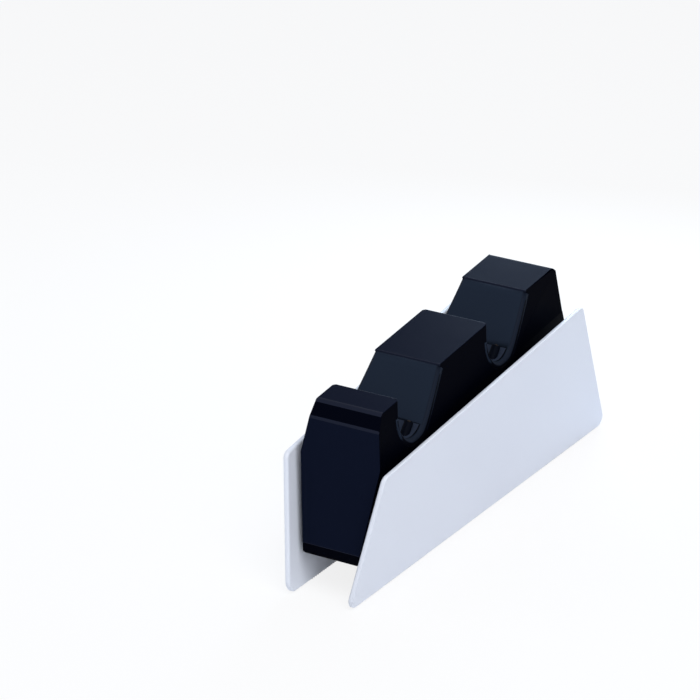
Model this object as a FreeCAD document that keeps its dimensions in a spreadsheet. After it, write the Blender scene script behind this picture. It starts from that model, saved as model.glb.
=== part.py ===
"""Two-bay controller charging dock.

Two leaning side plates stand on the table and carry a slim moulded housing
between them.  Each bay of the housing is a U-shaped cradle with a long ramp at
its back, a floor insert and two terminal posts.  Millimetres, +Z up, +Y to the
rear, origin at the centre of the standing face.
"""
import FreeCAD
import Part
import math
import os
import re
import Sketcher
from FreeCAD import Placement, Rotation, Vector

# Driving dimensions: lengths in mm, angles in degrees, stations measured from the toe,
# which is where the front edge of the side plates would meet the table
SIZES = {
    # side plates
    "plate_length": 171.0,
    "plate_front_height": 44.0,
    "plate_rear_height": 58.0,
    "plate_front_rake": 13.35,
    "plate_rear_rake": 31.6,
    "plate_lean": 9.1,
    "plate_thickness": 1.9,
    "plate_front_corner": 3.2,
    "plate_top_corner": 3.0,
    "plate_heel_corner": 3.0,
    "plate_inner_bevel": 0.6,
    "plate_outer_bevel": 0.35,
    "foot_width": 23.9,
    # rubber strips in the standing edges of the plates
    "strip_proud": 0.3,
    "strip_depth": 0.8,
    "strip_width": 0.7,
    "strip_length": 34.0,
    "strip_inset": 14.0,
    # housing section, heights taken at the toe
    "body_tilt": 5.71,
    "top_height": 59.0,
    "wide_height": 42.55,
    "top_half_width": 12.0,
    "wide_half_width": 14.6,
    "side_draft": 8.24,
    # housing outline
    "base_height": 11.8,
    "cover_depth": 3.7,
    "face_setback": 5.1,
    "face_rake": 11.31,
    "rear_top": 131.8,
    "rear_rake": 3.8,
    "tail_setback": 3.6,
    "brow_drop": 5.0,
    "brow_run": 2.0,
    "crown_round": 3.0,
    # walls and clearances
    "wall": 2.0,
    "front_wall": 2.4,
    "fit": 0.1,
    # bays
    "bay_start": 36.4,
    "bay_pitch": 56.4,
    "bay_depth": 15.9,
    "bay_radius": 7.7,
    "ramp_low_angle": 44.0,
    "ramp_top_angle": 38.1,
    "insert_angle": 38.0,
    "bay_edge_bevel": 1.0,
    # cradle liners
    "liner_thickness": 2.2,
    "liner_lip": 0.6,
    # terminal carriers
    "carrier_half_width": 12.3,
    "carrier_sink": 0.15,
    "carrier_reach": 22.0,
    "seam_angle": 0.8,
    "post_inset": 1.35,
    "post_offset": 5.8,
    "post_diameter": 3.0,
    "post_tip_drop": 1.4,
    "leg_width": 4.6,
    "contact_diameter": 1.2,
    "contact_proud": 0.3,
    "contact_tail": 0.9,
    # circuit boards
    "board_thickness": 1.6,
    "terminal_board_front": 6.5,
    "terminal_board_back": 10.0,
    "terminal_screw_offset": 0.0,
    "board_play": 0.4,
    "board_behind_screw": 9.0,
    "board_before_inlet": 1.5,
    "standoff_height": 0.6,
    "standoff_width": 3.0,
    "standoff_inset": 4.0,
    # base cover and its screws
    "cover_step": 0.1,
    "cover_edge_round": 1.6,
    "plug_height": 1.0,
    "cover_screw_start": 21.5,
    "cover_screw_pitch": 37.5,
    "cover_screw_count": 3,
    "boss_diameter": 6.4,
    "rib_thickness": 1.8,
    "rib_height": 12.5,
    "screw_diameter": 2.2,
    "screw_head_diameter": 4.2,
    "screw_head_height": 1.4,
    "screw_length": 9.0,
    # staking tabs between plates and housing
    "tab_start": 35.5,
    "tab_pitch": 46.5,
    "tab_count": 3,
    "tab_level": 23.45,
    "tab_width": 5.0,
    "tab_height": 2.4,
    "tab_shoulder": 7.0,
    "tab_end": 1.0,
    # power inlet
    "inlet_set": 23.5,
    "inlet_width": 9.0,
    "inlet_height": 10.4,
    "inlet_length": 13.0,
    "inlet_nose": 8.0,
    "inlet_bore": 5.6,
    "inlet_bore_depth": 9.0,
    "inlet_pin_diameter": 2.0,
    "inlet_pin_set": 0.8,
    "inlet_mouth_width": 11.0,
    "inlet_mouth_height": 10.4,
    "inlet_mouth_round": 1.5,
    # ballast bars
    "ballast_play": 0.5,
    "ballast_height": 9.0,
    "ballast_bevel": 1.0,
    # flat leads
    "lead_width": 4.0,
    "lead_thickness": 0.8,
    "lead_offset": 3.2,
    "lead_lift": 2.4,
}

document = FreeCAD.newDocument("charging_dock")
sheet = document.addObject("Spreadsheet::Sheet", "sizes")
for row, (alias, size) in enumerate(SIZES.items(), start=1):
    sheet.set(f"A{row}", alias)
    sheet.set(f"B{row}", str(size))
    sheet.setAlias(f"B{row}", alias)
document.recompute()

pieces = {}

# Tolerances for finding faces and edges: lengths in mm, and the cosine for "runs along"
TOUCHING = 0.01
NEARBY = 0.5
ALONG = 0.9


# Expressions

def bind(formula):
    """Point every size name in a formula at its cell of the sheet."""
    return re.sub(r"[a-z]\w+", lambda word: ("sizes." if word[0] in SIZES else "") + word[0], formula)


def value(formula):
    """The number that a formula gives with the present sizes."""
    answer = sheet.evalExpression(bind(str(formula)))
    return float(getattr(answer, "Value", answer))


# The toe is placed so that the dock stands centred on the origin: rounding its
# lower corners takes a little off the plates at the front and more at the heel
TOE_ROUNDING = (
    "(tan(plate_front_rake) * (strip_proud + plate_front_corner)"
    " + plate_front_corner * (1 / cos(plate_front_rake) - 1))"
)
HEEL_ROUNDING = (
    "(tan(plate_rear_rake) * (strip_proud + plate_heel_corner)"
    " + plate_heel_corner * (1 / cos(plate_rear_rake) - 1))"
)
TOE = f"((-plate_length - {TOE_ROUNDING} + {HEEL_ROUNDING}) / 2)"


def station(distance):
    """Y of a place measured from the toe."""
    return f"({TOE} + ({distance}))"


def top_at(y):
    return f"(top_height + tan(body_tilt) * (({y}) - {TOE}))"


def wide_at(y):
    return f"(wide_height + tan(body_tilt) * (({y}) - {TOE}))"


def face_at(z):
    return station(f"face_setback + tan(face_rake) * ({z})")


def tail_at(z):
    return station(f"plate_length - tail_setback - tan(plate_rear_rake) * ({z})")


REAR_HEIGHT = "(top_height + tan(body_tilt) * rear_top)"


def side_inside(y, z):
    """Half the width inside the housing's lower walls."""
    return f"(wide_half_width - tan(side_draft) * ({wide_at(y)} - ({z})) - wall)"


def rear_at(z):
    return station(f"rear_top + tan(rear_rake) * ({REAR_HEIGHT} - ({z}))")


# Document objects

def plane_of(body, role):
    return next(feature for feature in body.Origin.OriginFeatures if feature.Role == role)


def new_body(name, at=None, turn=None):
    """A body, optionally placed at (x, y, z) formulas and turned about X."""
    body = document.addObject("PartDesign::Body", name)
    body.Label = name
    if turn is not None:
        body.Placement = Placement(Vector(), Rotation(Vector(1, 0, 0), value(turn)))
        body.setExpression(".Placement.Rotation.Angle", bind(turn))
    if at is not None:
        for axis, formula in zip("xyz", at):
            body.setExpression(f".Placement.Base.{axis}", bind(formula))
    return body


def new_sketch(body, role, shift="0"):
    """A sketch on one of the body's own planes, shifted along its normal."""
    sketch = body.newObject("Sketcher::SketchObject", f"{body.Name}_sketch")
    sketch.AttachmentSupport = (plane_of(body, role), [""])
    sketch.MapMode = "FlatFace"
    if shift != "0":
        sketch.setExpression(".AttachmentOffset.Base.z", bind(shift))
    return sketch


def constrain(sketch, kind, formula, *where):
    """One dimension of a sketch, bound to its formula."""
    index = sketch.addConstraint(Sketcher.Constraint(kind, *where, value(formula)))
    sketch.setExpression(f"Constraints[{index}]", bind(str(formula)))


def arc_between(start, end, radius, turn):
    """The shorter arc from start to end, turning left (+1) or right (-1)."""
    chord = end - start
    rise = math.sqrt(radius ** 2 - (chord.Length / 2) ** 2)
    side = Vector(-chord.y, chord.x, 0).normalize() * turn
    centre = start + chord / 2 + side * rise
    first, last = (start, end) if turn > 0 else (end, start)
    angles = [math.atan2(point.y - centre.y, point.x - centre.x) for point in (first, last)]
    if angles[1] < angles[0]:
        angles[1] += 2 * math.pi
    return Part.ArcOfCircle(Part.Circle(centre, Vector(0, 0, 1), radius), *angles)


def outline(sketch, corners):
    """A closed outline.

    Each corner is (x, y), or (x, y, radius, turn) where an arc leads on to the
    next corner.  Every corner and every radius is bound to its formula.
    """
    points = [Vector(value(corner[0]), value(corner[1]), 0) for corner in corners]
    first = sketch.GeometryCount
    ends = []
    for index, corner in enumerate(corners):
        start = points[index]
        end = points[(index + 1) % len(points)]
        if len(corner) == 2:
            sketch.addGeometry(Part.LineSegment(start, end), False)
            ends.append((1, 2))
        else:
            sketch.addGeometry(arc_between(start, end, value(corner[2]), corner[3]), False)
            ends.append((1, 2) if corner[3] > 0 else (2, 1))
    count = len(corners)
    for index in range(count):
        following = (index + 1) % count
        here = (first + index, ends[index][1])
        there = (first + following, ends[following][0])
        sketch.addConstraint(Sketcher.Constraint("Coincident", *here, *there))
    for index, corner in enumerate(corners):
        start = (first + index, ends[index][0])
        constrain(sketch, "DistanceX", corner[0], -1, 1, *start)
        constrain(sketch, "DistanceY", corner[1], -1, 1, *start)
        if len(corner) > 2:
            constrain(sketch, "Radius", corner[2], first + index)


def rectangle(sketch, left, low, right, high):
    outline(sketch, [(left, low), (right, low), (right, high), (left, high)])


def circle(sketch, x, y, diameter):
    centre = Vector(value(x), value(y), 0)
    index = sketch.addGeometry(Part.Circle(centre, Vector(0, 0, 1), value(diameter) / 2), False)
    constrain(sketch, "DistanceX", x, -1, 1, index, 3)
    constrain(sketch, "DistanceY", y, -1, 1, index, 3)
    constrain(sketch, "Diameter", diameter, index)


def block(sketch, x, y, width, height):
    """A rectangle about a centre."""
    half_width, half_height = f"({width}) / 2", f"({height}) / 2"
    rectangle(
        sketch,
        f"{x} - {half_width}", f"{y} - {half_height}",
        f"{x} + {half_width}", f"{y} + {half_height}",
    )


def pad(body, sketch, length, symmetric=False, backwards=False):
    feature = body.newObject("PartDesign::Pad", f"{body.Name}_pad")
    feature.Profile = sketch
    feature.SideType = "Symmetric" if symmetric else "One side"
    feature.Reversed = backwards
    feature.setExpression("Length", bind(length))
    return feature


def pocket(body, sketch, length=None, symmetric=False, backwards=False):
    """A pocket of the given depth, or right through both ways without one."""
    feature = body.newObject("PartDesign::Pocket", f"{body.Name}_pocket")
    feature.Profile = sketch
    if length is None:
        feature.Type = "ThroughAll"
        feature.SideType = "Symmetric"
    else:
        feature.SideType = "Symmetric" if symmetric else "One side"
        feature.Reversed = backwards
        feature.setExpression("Length", bind(length))
    return feature


def fillet(body, wanted, radius):
    """Round the edges of the body's last feature that pass the test."""
    document.recompute()
    base = body.Tip
    names = [f"Edge{index}" for index, edge in enumerate(base.Shape.Edges, start=1) if wanted(edge)]
    feature = body.newObject("PartDesign::Fillet", f"{body.Name}_fillet")
    feature.Base = (base, names)
    feature.setExpression("Radius", bind(radius))
    return feature


def bevel(body, wanted, size):
    """Chamfer the edges of the body's last feature that pass the test."""
    document.recompute()
    base = body.Tip
    names = [f"Edge{index}" for index, edge in enumerate(base.Shape.Edges, start=1) if wanted(edge)]
    feature = body.newObject("PartDesign::Chamfer", f"{body.Name}_bevel")
    feature.Base = (base, names)
    feature.setExpression("Size", bind(size))
    return feature


def middle(edge):
    return edge.valueAt((edge.FirstParameter + edge.LastParameter) / 2)


def near_place(edge, y, z):
    point = middle(edge)
    return abs(point.y - value(y)) < NEARBY and abs(point.z - value(z)) < NEARBY


def runs_along(edge, direction):
    return abs(edge.tangentAt(edge.FirstParameter).dot(direction)) > ALONG


# Moulded section of the housing

UPPER_SLOPE = "((wide_half_width - top_half_width) / (top_height - wide_height))"


def run_along(body, corners):
    """Run a section, given at the toe, along the tilted length of the dock."""
    sketch = new_sketch(body, "XZ_Plane", f"-({TOE})")
    outline(sketch, corners)
    feature = pad(body, sketch, "plate_length")
    feature.UseCustomVector = True
    feature.Direction = Vector(0, 1, math.tan(math.radians(value("body_tilt"))))
    feature.setExpression("Direction.z", bind("tan(body_tilt)"))
    return feature


def run_both_sides(body, right):
    """Run a section along the dock, given by its right-hand corners from low to high."""
    run_along(body, right + [(f"-({x})", z) for x, z in reversed(right)])


def hull(body, inset="0"):
    """Six-sided section of the housing, its sides set in."""
    skirt = "(wide_height + tan(body_tilt) * plate_length)"
    run_both_sides(body, [
        (f"wide_half_width - tan(side_draft) * {skirt} - ({inset})", f"wide_height - {skirt}"),
        (f"wide_half_width - ({inset})", "wide_height"),
        (f"top_half_width - {UPPER_SLOPE} * wall - ({inset})", "top_height + wall"),
    ])


def upper_hull(body):
    """The housing's upper sides alone, run straight on down past the crease."""
    drop = "2 * bay_depth"
    run_both_sides(body, [
        (f"top_half_width + {UPPER_SLOPE} * {drop}", f"top_height - {drop}"),
        (f"top_half_width - {UPPER_SLOPE} * wall", "top_height + wall"),
    ])


def rounded(corner, heading_in, heading_out, radius):
    """Two outline entries for a right-hand corner, its headings measured from +Y."""
    y, z = corner
    run = f"(({radius}) * tan((({heading_in}) - ({heading_out})) / 2))"
    return [
        (f"{y} - {run} * cos({heading_in})", f"{z} - {run} * sin({heading_in})", radius, -1),
        (f"{y} + {run} * cos({heading_out})", f"{z} + {run} * sin({heading_out})"),
    ]


def trim(body, corners):
    """Keep only what lies inside an outline drawn in the side view."""
    sketch = new_sketch(body, "YZ_Plane")
    rectangle(sketch, "-plate_length", "-plate_length", "plate_length", "plate_length")
    outline(sketch, corners)
    pocket(body, sketch)


# Bay profile in the side view: a wall, a round floor and a long ramp.
# Each function takes the bay's number and how far the line lies inside the plastic.

CENTRE_DROP = "(bay_depth - bay_radius)"
RAMP_RADIUS = (
    f"(({CENTRE_DROP} * cos(body_tilt) + bay_radius * sin(ramp_low_angle + body_tilt))"
    " / (sin(ramp_low_angle + body_tilt) - sin(ramp_top_angle + body_tilt)))"
)


def bay_centre(bay):
    y = station(f"bay_start + {bay} * bay_pitch")
    return y, f"({top_at(y)} - {CENTRE_DROP})"


def wall_rise(depth, under):
    """Length of the bay's front wall, from its round floor to a line under the top."""
    return (
        f"(({CENTRE_DROP} - {under} - (bay_radius + {depth}) * (sin(face_rake) + tan(body_tilt)"
        " * cos(face_rake))) / (cos(face_rake) - tan(body_tilt) * sin(face_rake)))"
    )


def wall_point(bay, depth, rise):
    y, z = bay_centre(bay)
    return (
        f"{y} - (bay_radius + {depth}) * cos(face_rake) + {rise} * sin(face_rake)",
        f"{z} + (bay_radius + {depth}) * sin(face_rake) + {rise} * cos(face_rake)",
    )


def ramp_centre(bay):
    y, z = bay_centre(bay)
    shift = f"({RAMP_RADIUS} - bay_radius)"
    return f"({y} - {shift} * cos(ramp_low_angle))", f"({z} + {shift} * sin(ramp_low_angle))"


def ramp_point(bay, depth, angle):
    y, z = ramp_centre(bay)
    reach = f"({RAMP_RADIUS} + {depth})"
    return f"{y} + {reach} * cos({angle})", f"{z} - {reach} * sin({angle})"


def below_top(margin):
    """Ramp angle at a distance down the ramp from its top edge."""
    return f"(ramp_top_angle + {margin} / {RAMP_RADIUS} * 180 / pi)"


def ramp_angle_at_roof(depth):
    """Ramp angle where a line inside the plastic meets the housing's inner roof."""
    share = (
        f"((({RAMP_RADIUS} - bay_radius) * sin(ramp_low_angle + body_tilt)"
        f" + (wall - {CENTRE_DROP}) * cos(body_tilt)) / ({RAMP_RADIUS} + {depth}))"
    )
    return f"(asin({share}) / 1 deg - body_tilt)"


def bay_recess(bay):
    """Bay line of the housing, stepped back for the liner, from front to rear."""
    depth = "(liner_thickness + fit)"
    lip = below_top("liner_lip")
    return [
        wall_point(bay, "0", wall_rise("0", "0")),
        wall_point(bay, "0", "0"),
        (*wall_point(bay, depth, "0"), f"bay_radius + {depth}", 1),
        (*ramp_point(bay, depth, "ramp_low_angle"), f"{RAMP_RADIUS} + {depth}", 1),
        ramp_point(bay, depth, lip),
        ramp_point(bay, "0", lip),
        ramp_point(bay, "0", "ramp_top_angle"),
    ]


def bay_shadow(bay):
    """Bay line on the inner side of the housing's wall, from front to rear."""
    depth = "(liner_thickness + fit + wall)"
    return [
        wall_point(bay, depth, wall_rise(depth, "wall")),
        (*wall_point(bay, depth, "0"), f"bay_radius + {depth}", 1),
        (*ramp_point(bay, depth, "ramp_low_angle"), f"{RAMP_RADIUS} + {depth}", 1),
        ramp_point(bay, depth, ramp_angle_at_roof(depth)),
    ]


# Combined pieces

def cut(name, base, tool):
    piece = document.addObject("Part::Cut", name)
    piece.Base = base
    piece.Tool = tool
    piece.Refine = True
    return piece


def overlap(name, base, tool):
    piece = document.addObject("Part::Common", name)
    piece.Base = base
    piece.Tool = tool
    piece.Refine = True
    return piece


def join(name, *parts):
    piece = document.addObject("Part::MultiFuse", name)
    piece.Shapes = list(parts)
    piece.Refine = True
    return piece


def keep(node, piece):
    """Make a document object one of the dock's pieces."""
    piece.Label = node
    pieces[node] = piece


# Levels and corners that several pieces share

SHELL_LOW = "(base_height + cover_depth)"
PLUG_TOP = f"({SHELL_LOW} + plug_height)"
BOARD_LOW = f"({PLUG_TOP} + standoff_height)"
BOARD_TOP = f"({BOARD_LOW} + board_thickness)"
INLET_REAR = station("plate_length - inlet_set")
INLET_FRONT = f"({INLET_REAR} - wall)"
INLET_MIDDLE = f"({BOARD_TOP} + inlet_height / 2)"
KNEE_HEIGHT = (
    f"((plate_length - tail_setback - rear_top - tan(rear_rake) * {REAR_HEIGHT})"
    " / (tan(plate_rear_rake) - tan(rear_rake)))"
)
TAIL_WALL = "(wall / cos(plate_rear_rake))"
SIDE_AT_TAB = "(wide_half_width - tan(side_draft) * (wide_height - tab_level))"


def face_corner(set_back, under):
    """Station where the front face, set back, meets a line under the top."""
    return station(
        f"(face_setback + {set_back} + tan(face_rake) * (top_height - {under}))"
        " / (1 - tan(face_rake) * tan(body_tilt))"
    )


def cover_screw_places():
    count = int(value("cover_screw_count"))
    return [station(f"cover_screw_start + {index} * cover_screw_pitch") for index in range(count)]


def tab_places():
    distances = [f"(tab_start + {index} * tab_pitch)" for index in range(int(value("tab_count")))]
    return [(station(run), f"(tab_level + tan(body_tilt) * {run})") for run in distances]


# Terminal set of a bay, drawn in a frame at the bay's centre whose Z runs
# along the way in

BOARD_SEAT = "(bay_radius + liner_thickness + fit + wall + fit)"
BOARD_UNDER = f"({BOARD_SEAT} + board_thickness)"


def insert_body(name, bay):
    y, z = bay_centre(bay)
    return new_body(name, ("0", y, z), "-insert_angle")


def insert_place(bay, y, z):
    """Side-view place of a point given in the bay's own frame."""
    centre_y, centre_z = bay_centre(bay)
    return (
        f"({centre_y} + ({y}) * cos(insert_angle) + ({z}) * sin(insert_angle))",
        f"({centre_z} - ({y}) * sin(insert_angle) + ({z}) * cos(insert_angle))",
    )


def polar(radius, angle):
    return f"({radius}) * cos({angle})", f"({radius}) * sin({angle})"


def board_half(bay):
    """Half width of a terminal board, whose lowest corner clears the housing's sides."""
    low_corner = insert_place(bay, "terminal_board_back", f"-{BOARD_UNDER}")
    return f"({side_inside(*low_corner)} - board_play)"


def leg_places(bay):
    """Left post, screw and right post, the posts set in from the terminal board's sides."""
    post = f"({board_half(bay)} - post_inset)"
    return [(f"-{post}", "post_offset"), ("0", "terminal_screw_offset"), (post, "post_offset")]


def make_carrier(node, bay):
    """Floor insert with its two posts and the three legs that reach the board."""
    body = insert_body(node, bay)
    front = "-(90 + carrier_reach) + seam_angle"
    rear = "insert_angle - ramp_low_angle - seam_angle"
    outer = "bay_radius + liner_thickness"
    inner = "bay_radius + carrier_sink"
    band = new_sketch(body, "YZ_Plane")
    outline(band, [
        (*polar(outer, front), outer, 1),
        polar(outer, rear),
        (*polar(inner, rear), inner, -1),
        polar(inner, front),
    ])
    pad(body, band, "2 * carrier_half_width", symmetric=True)
    legs = new_sketch(body, "XY_Plane", f"-{BOARD_SEAT}")
    for x, y in leg_places(bay):
        block(legs, x, y, "leg_width", "leg_width")
    pad(body, legs, f"{BOARD_SEAT} - post_tip_drop")
    hollow = new_sketch(body, "YZ_Plane")
    circle(hollow, "0", "0", f"2 * ({inner})")
    pocket(body, hollow)
    posts = new_sketch(body, "XY_Plane", "-bay_radius")
    for x, y in leg_places(bay)[::2]:
        circle(posts, x, y, "post_diameter")
    pad(body, posts, "bay_radius - post_tip_drop")
    bores = new_sketch(body, "XY_Plane")
    for x, y in leg_places(bay)[::2]:
        circle(bores, x, y, "contact_diameter + fit / 2")
    pocket(body, bores)
    pilot = new_sketch(body, "XY_Plane", f"-{BOARD_SEAT}")
    circle(pilot, "0", "terminal_screw_offset", "screw_diameter")
    pocket(body, pilot, "wall + liner_thickness", backwards=True)
    keep(node, body)


def make_contact(node, bay, side):
    """Metal pin through a post, from its tip to the board's solder side."""
    body = insert_body(node, bay)
    sketch = new_sketch(body, "XY_Plane", f"-({BOARD_UNDER} + contact_tail)")
    circle(sketch, *leg_places(bay)[1 + side], "contact_diameter")
    pad(body, sketch, f"{BOARD_UNDER} + contact_tail - post_tip_drop + contact_proud")
    keep(node, body)


def make_terminal_board(node, bay):
    body = insert_body(node, bay)
    sketch = new_sketch(body, "XY_Plane", f"-{BOARD_UNDER}")
    half = board_half(bay)
    rectangle(sketch, f"-{half}", "-terminal_board_front", half, "terminal_board_back")
    pad(body, sketch, "board_thickness")
    holes = new_sketch(body, "XY_Plane")
    for x, y in leg_places(bay)[::2]:
        circle(holes, x, y, "contact_diameter + fit")
    circle(holes, "0", "terminal_screw_offset", "screw_diameter + 2 * fit")
    pocket(body, holes)
    keep(node, body)


def make_terminal_screw(node, bay):
    body = insert_body(node, bay)
    head = new_sketch(body, "XY_Plane", f"-{BOARD_UNDER}")
    circle(head, "0", "terminal_screw_offset", "screw_head_diameter")
    pad(body, head, "screw_head_height", backwards=True)
    shank = new_sketch(body, "XY_Plane", f"-{BOARD_UNDER}")
    circle(shank, "0", "terminal_screw_offset", "screw_diameter")
    pad(body, shank, "board_thickness + wall + liner_thickness - 2 * fit")
    keep(node, body)


def leg_holes(bay):
    """Passages for a carrier's legs through the bay's floor."""
    body = insert_body(f"leg_holes_{bay}", bay)
    sketch = new_sketch(body, "XY_Plane", f"-{BOARD_SEAT} - wall")
    for x, y in leg_places(bay):
        block(sketch, x, y, "leg_width + 2 * fit", "leg_width + 2 * fit")
    pad(body, sketch, f"{BOARD_SEAT} + wall - post_tip_drop")
    return body


# Cradle liners

def make_liner(node, bay):
    """Matte liner of a bay: a curved ramp with bevelled sides, its floor cut out."""
    lip = below_top("liner_lip")
    body = new_body(f"{node}_blank")
    upper_hull(body)
    trim(body, [
        (*wall_point(bay, "liner_thickness", "0"), "bay_radius + liner_thickness", 1),
        (*ramp_point(bay, "liner_thickness", "ramp_low_angle"), f"{RAMP_RADIUS} + liner_thickness", 1),
        ramp_point(bay, "liner_thickness", lip),
        (*ramp_point(bay, "0", lip), RAMP_RADIUS, -1),
        (*ramp_point(bay, "0", "ramp_low_angle"), "bay_radius", -1),
        wall_point(bay, "0", "0"),
    ])
    floor_and_ramp = [
        (value(y), value(z), value(radius))
        for (y, z), radius in ((bay_centre(bay), "bay_radius"), (ramp_centre(bay), RAMP_RADIUS))
    ]
    bevel(body, lambda edge: is_bay_side(edge, floor_and_ramp), "bay_edge_bevel")
    window = new_sketch(body, "YZ_Plane")
    centre_y, centre_z = bay_centre(bay)
    rear = "-ramp_low_angle"
    front = "-(90 + carrier_reach + insert_angle)"
    reach = "(2 * (bay_radius + liner_thickness))"
    corners = [(centre_y, centre_z)]
    for angle in (front, f"(({front}) + ({rear})) / 2", rear):
        corners.append((f"{centre_y} + {reach} * cos({angle})", f"{centre_z} + {reach} * sin({angle})"))
    outline(window, corners)
    pocket(body, window, "2 * (carrier_half_width + fit)", symmetric=True)
    section = new_body(f"{node}_section")
    hull(section)
    keep(node, overlap(f"{node}_trimmed", body, section))


def is_bay_side(edge, arcs):
    """True for a long edge between the bay's surface, given by its arcs, and a side."""
    point = middle(edge)
    gaps = [abs(math.hypot(point.y - y, point.z - z) - radius) for y, z, radius in arcs]
    return min(gaps) < TOUCHING and not runs_along(edge, Vector(1, 0, 0))


# Housing

def shell_outline():
    knee = (rear_at(KNEE_HEIGHT), KNEE_HEIGHT)
    brow = face_corner("0", "0")
    brow_low = f"({top_at(brow)} - brow_drop)"
    brow_rear = f"({brow} + brow_run)"
    return [
        (face_at(SHELL_LOW), SHELL_LOW),
        (face_at(brow_low), brow_low),
        (brow_rear, top_at(brow_rear)),
        *bay_recess(0),
        *bay_recess(1),
        *rounded((station("rear_top"), REAR_HEIGHT), "body_tilt", "rear_rake - 90", "crown_round"),
        knee,
        (tail_at(SHELL_LOW), SHELL_LOW),
    ]


def cavity_outline():
    low = f"({SHELL_LOW} - wall)"
    brow = face_corner("front_wall", "wall")
    rear = station("rear_top - wall")
    return [
        (f"{face_at(low)} + front_wall", low),
        (brow, f"{top_at(brow)} - wall"),
        *bay_shadow(0),
        *bay_shadow(1),
        (rear, f"{top_at(rear)} - wall"),
        (f"{rear_at(KNEE_HEIGHT)} - {TAIL_WALL}", KNEE_HEIGHT),
        (INLET_FRONT, f"({tail_at('0')} - {TAIL_WALL} - {INLET_FRONT}) / tan(plate_rear_rake)"),
        (INLET_FRONT, low),
    ]


def make_main_shell():
    """Moulded housing: outer form, hollow with cross ribs, bosses and openings."""
    form = new_body("shell_form")
    hull(form)
    trim(form, shell_outline())
    bevel(form, is_hump_corner, "bay_edge_bevel")

    cavity = new_body("shell_cavity")
    hull(cavity, "wall")
    trim(cavity, cavity_outline())
    ribs = new_sketch(cavity, "YZ_Plane")
    for y in cover_screw_places():
        half = "rib_thickness / 2"
        rectangle(ribs, f"{y} - {half}", f"{PLUG_TOP} + fit", f"{y} + {half}", f"{PLUG_TOP} + rib_height")
    pocket(cavity, ribs)

    bosses = new_body("shell_bosses")
    rings = new_sketch(bosses, "XY_Plane", f"{PLUG_TOP} + fit")
    for y in cover_screw_places():
        circle(rings, "0", y, "boss_diameter")
    pad(bosses, rings, "rib_height - fit")

    pilots = new_body("shell_pilots")
    pilot_sketch = new_sketch(pilots, "XY_Plane", PLUG_TOP)
    for y in cover_screw_places():
        circle(pilot_sketch, "0", y, "screw_diameter")
    pad(pilots, pilot_sketch, "screw_length")

    slots = new_body("tab_slots")
    slot_sketch = new_sketch(slots, "YZ_Plane")
    for y, z in tab_places():
        block(slot_sketch, y, z, "tab_width + 2 * fit", "tab_height + 2 * fit")
    pad(slots, slot_sketch, "2 * foot_width", symmetric=True)

    hollow = join("shell_ribbed", cut("shell_hollow", form, cavity), bosses)
    openings = join("shell_openings", pilots, slots, leg_holes(0), leg_holes(1), *inlet_openings())
    keep("main_shell", cut("shell_open", hollow, openings))


def is_hump_corner(edge):
    """True for the upright corner edges at the rear of the two front humps."""
    places = [wall_point(bay, "0", f"{wall_rise('0', '0')} / 2") for bay in (0, 1)]
    return not runs_along(edge, Vector(1, 0, 0)) and any(near_place(edge, *place) for place in places)


def inlet_openings():
    """Mouth in the sloping tail and the round hole for the inlet's nose."""
    mouth = new_body("inlet_mouth")
    sketch = new_sketch(mouth, "XZ_Plane", f"-{station('plate_length')}")
    half = "inlet_mouth_width / 2"
    rise = "inlet_mouth_height / 2"
    rectangle(sketch, f"-{half}", f"{INLET_MIDDLE} - {rise}", half, f"{INLET_MIDDLE} + {rise}")
    pad(mouth, sketch, "inlet_set")
    fillet(mouth, lambda edge: runs_along(edge, Vector(0, 1, 0)), "inlet_mouth_round")
    hole = new_body("inlet_hole")
    ring = new_sketch(hole, "XZ_Plane", f"-{INLET_REAR} - fit")
    circle(ring, "0", INLET_MIDDLE, "inlet_nose + 2 * fit")
    pad(hole, ring, "2 * wall")
    return mouth, hole


def make_base_cover():
    """Cover under the housing, with a plug that locates it and standoffs for the board."""
    slab = new_body("cover_slab")
    hull(slab, "cover_step")
    trim(slab, [
        (f"{face_at('base_height')} + cover_step", "base_height"),
        (f"{face_at(SHELL_LOW)} + cover_step", SHELL_LOW),
        (f"{tail_at(SHELL_LOW)} - cover_step", SHELL_LOW),
        (f"{tail_at('base_height')} - cover_step", "base_height"),
    ])
    fillet(slab, is_lip_edge, "cover_edge_round")
    plug = new_body("cover_plug")
    hull(plug, "wall + fit")
    low = f"({SHELL_LOW} - plug_height)"
    trim(plug, [
        (f"{face_at(low)} + front_wall + fit", low),
        (f"{face_at(PLUG_TOP)} + front_wall + fit", PLUG_TOP),
        (f"{INLET_FRONT} - fit", PLUG_TOP),
        (f"{INLET_FRONT} - fit", low),
    ])
    standoffs = new_body("cover_standoffs")
    sketch = new_sketch(standoffs, "XY_Plane", PLUG_TOP)
    for y in control_board_ends("standoff_inset"):
        block(sketch, "0", y, "standoff_width", "standoff_width")
    pad(standoffs, sketch, "standoff_height")
    holes = new_body("cover_holes")
    shanks = new_sketch(holes, "XY_Plane", "base_height - wall")
    heads = new_sketch(holes, "XY_Plane", "base_height - wall")
    for y in cover_screw_places():
        circle(shanks, "0", y, "screw_diameter + 2 * fit")
        circle(heads, "0", y, "screw_head_diameter + 2 * fit")
    pad(holes, shanks, f"{PLUG_TOP} + wall - base_height")
    pad(holes, heads, "wall + screw_head_height")
    keep("base_cover", cut("cover_bored", join("cover_joined", slab, plug, standoffs), holes))


def is_lip_edge(edge):
    """True for the cover's front and long lower edges."""
    bounds = edge.BoundBox
    return bounds.ZMax < value("base_height") + TOUCHING and bounds.YMin < 0


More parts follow.
